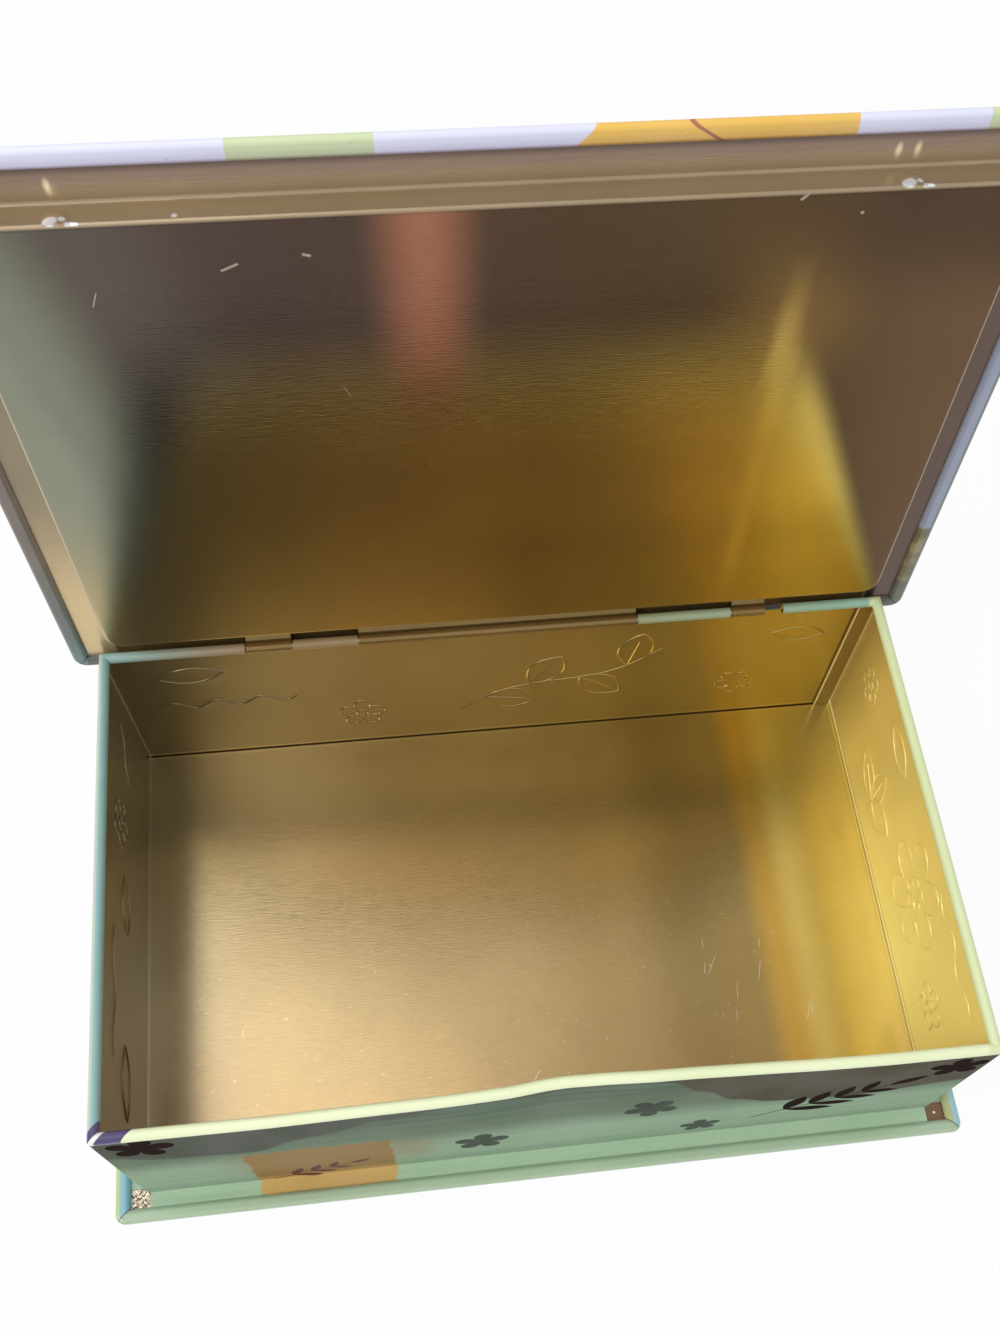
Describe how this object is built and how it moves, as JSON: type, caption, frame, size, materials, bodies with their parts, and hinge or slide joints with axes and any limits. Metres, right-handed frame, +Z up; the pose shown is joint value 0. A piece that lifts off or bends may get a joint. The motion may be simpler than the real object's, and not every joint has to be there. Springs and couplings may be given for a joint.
{
  "type": "hinged storage tin",
  "caption": "Shallow rectangular tinplate box with a rolled rim between two overhanging hemmed covers, the upper one hinged at the back as a lid with a plug that drops inside the rim.",
  "frame": {"origin": "centre of the body walls' footprint, on the flat underside that the tin stands on", "axes": "+X to the tin's right, -Y to its front, +Z up; the lid is open at rest"},
  "size_m": [0.2038, 0.1344, 0.1718],
  "materials": {
    "printed_body": "glossy litho print in sea green and mint outside, bare golden tin inside",
    "printed_base": "glossy litho print in sea green outside, bare golden tin inside",
    "bare_tin": "rolled tinplate with a warm golden lacquer and a soft sheen",
    "printed_lid": "glossy litho print in lavender, golden yellow and light green",
    "hinge_steel": "plain steel wire"
  },
  "bodies": {
    "box": {"body_shell": "printed_body", "base_cover": "printed_base", "hinge_wire": "hinge_steel"},
    "lid": {"lid_plug": "bare_tin", "lid_cover": "printed_lid"}
  },
  "joints": [
    {"name": "lid_hinge", "type": "hinge", "parent": "box", "child": "lid", "pos_m": [0, 0.05725, 0.05005], "axis": [1, 0, 0], "range_deg": [0, 94]}
  ]
}
